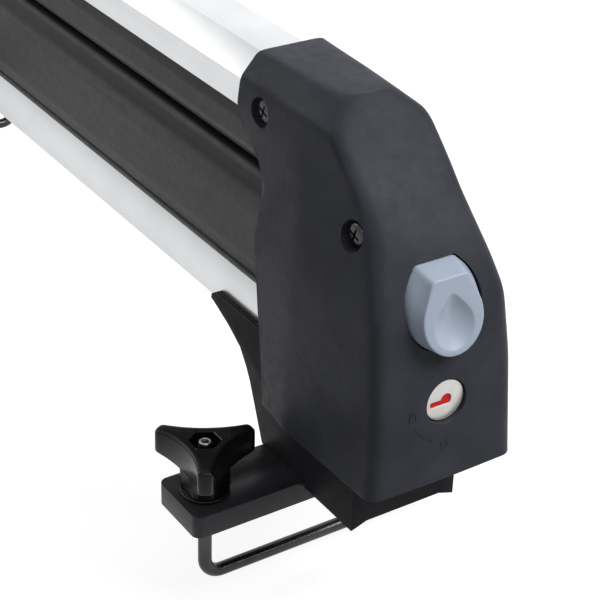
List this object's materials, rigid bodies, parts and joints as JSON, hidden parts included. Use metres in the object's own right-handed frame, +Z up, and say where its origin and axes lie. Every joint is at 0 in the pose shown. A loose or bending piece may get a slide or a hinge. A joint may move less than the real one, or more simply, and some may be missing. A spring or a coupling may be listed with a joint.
{
  "type": "ski and snowboard carrier",
  "caption": "Lockable ski and snowboard carrier: hinged aluminium rails with rubber cushions, push-button latch, U-bolt clamps for a roof crossbar.",
  "frame": {"origin": "middle of the underside of the lock-end clamp plate, where it rests on the crossbar", "axes": "+X along the rails towards the lock, +Z up"},
  "size_m": [0.6402, 0.1576, 0.22],
  "materials": {
    "rail_aluminium": "satin anodised",
    "black_moulding": "fine grained black",
    "gloss_moulding": "glossy black",
    "button_moulding": "blue-grey, satin",
    "shutter_red": "red",
    "cushion_rubber": "satin black",
    "bright_steel": "zinc plated",
    "dark_steel": "black coated",
    "lock_face": "worn plate"
  },
  "bodies": {
    "base": {"base_rail": "rail_aluminium", "rail_plug": "black_moulding", "base_rubber": "cushion_rubber", "lock_foot": "black_moulding", "hinge_foot": "black_moulding", "clamp_plate_lock": "dark_steel", "clamp_plate_hinge": "dark_steel", "foot_bolts": "bright_steel", "foot_nuts": "bright_steel", "washers_lock": "dark_steel", "washers_hinge": "dark_steel", "strike_bracket": "bright_steel", "strike_pin": "bright_steel", "strike_screws": "bright_steel", "hinge_tower": "black_moulding", "tower_screws": "dark_steel", "hinge_pin": "bright_steel", "hinge_clips": "dark_steel"},
    "arm": {"arm_rail": "rail_aluminium", "arm_rubber": "cushion_rubber", "arm_end_cap": "black_moulding", "cap_screws": "dark_steel", "hinge_bushes": "bright_steel", "lock_housing": "black_moulding", "housing_screws": "dark_steel", "latch_carrier": "dark_steel", "carrier_screws": "dark_steel", "latch_pivot": "bright_steel", "latch_spring": "bright_steel", "lock_sleeve": "dark_steel", "lock_retainer": "bright_steel"},
    "button": {"push_button": "button_moulding"},
    "hook": {"latch_hook": "bright_steel"},
    "lock_cylinder": {"lock_core": "lock_face", "lock_cam": "bright_steel", "cam_screw": "bright_steel"},
    "shutter": {"key_shutter": "shutter_red"},
    "clamp_lock": {"u_bolt_lock": "dark_steel"},
    "clamp_hinge": {"u_bolt_hinge": "dark_steel"},
    "knob_1": {"knob_lock_near": "gloss_moulding", "nut_lock_near": "bright_steel"},
    "knob_2": {"knob_lock_far": "gloss_moulding", "nut_lock_far": "bright_steel"},
    "knob_3": {"knob_hinge_near": "gloss_moulding", "nut_hinge_near": "bright_steel"},
    "knob_4": {"knob_hinge_far": "gloss_moulding", "nut_hinge_far": "bright_steel"}
  },
  "joints": [
    {"name": "arm_swing", "type": "hinge", "parent": "base", "child": "arm", "pos_m": [-0.54, 0, 0.14], "axis": [0, -1, 0], "range_deg": [0, 90]},
    {"name": "button_press", "type": "slide", "parent": "arm", "child": "button", "axis": [-1, 0, 0], "range_m": [0, 0.004], "stiffness_N_per_m": 1500, "deforming": ["latch_spring"]},
    {"name": "hook_turn", "type": "hinge", "parent": "arm", "child": "hook", "pos_m": [0.04, 0, 0.105], "axis": [0, -1, 0], "range_deg": [0, 12.1]},
    {"name": "lock_turn", "type": "hinge", "parent": "arm", "child": "lock_cylinder", "pos_m": [0.06, 0, 0.0755], "axis": [1, 0, 0], "range_deg": [0, 90]},
    {"name": "shutter_push", "type": "slide", "parent": "lock_cylinder", "child": "shutter", "axis": [-1, 0, 0], "range_m": [0, 0.002], "stiffness_N_per_m": 200},
    {"name": "knob_lock_near_turn", "type": "hinge", "parent": "base", "child": "knob_1", "pos_m": [0, -0.06465, 0.02], "axis": [0, 0, 1], "range_deg": [0, 2880]},
    {"name": "knob_lock_far_turn", "type": "hinge", "parent": "base", "child": "knob_2", "pos_m": [0, 0.06465, 0.02], "axis": [0, 0, 1], "range_deg": [0, 2880]},
    {"name": "clamp_lock_slide", "type": "slide", "parent": "base", "child": "clamp_lock", "axis": [0, 0, 1], "range_m": [-0.008, 0]},
    {"name": "knob_hinge_near_turn", "type": "hinge", "parent": "base", "child": "knob_3", "pos_m": [-0.47, -0.06465, 0.02], "axis": [0, 0, 1], "range_deg": [0, 2880]},
    {"name": "knob_hinge_far_turn", "type": "hinge", "parent": "base", "child": "knob_4", "pos_m": [-0.47, 0.06465, 0.02], "axis": [0, 0, 1], "range_deg": [0, 2880]},
    {"name": "clamp_hinge_slide", "type": "slide", "parent": "base", "child": "clamp_hinge", "axis": [0, 0, 1], "range_m": [-0.008, 0]}
  ],
  "couplings": [
    {"joint": "hook_turn", "follows": "button_press", "rad_per_m": 52.36},
    {"joint": "knob_lock_near_turn", "follows": "clamp_lock_slide", "rad_per_m": -6283.2},
    {"joint": "knob_lock_far_turn", "follows": "clamp_lock_slide", "rad_per_m": -6283.2},
    {"joint": "knob_hinge_near_turn", "follows": "clamp_hinge_slide", "rad_per_m": -6283.2},
    {"joint": "knob_hinge_far_turn", "follows": "clamp_hinge_slide", "rad_per_m": -6283.2}
  ]
}
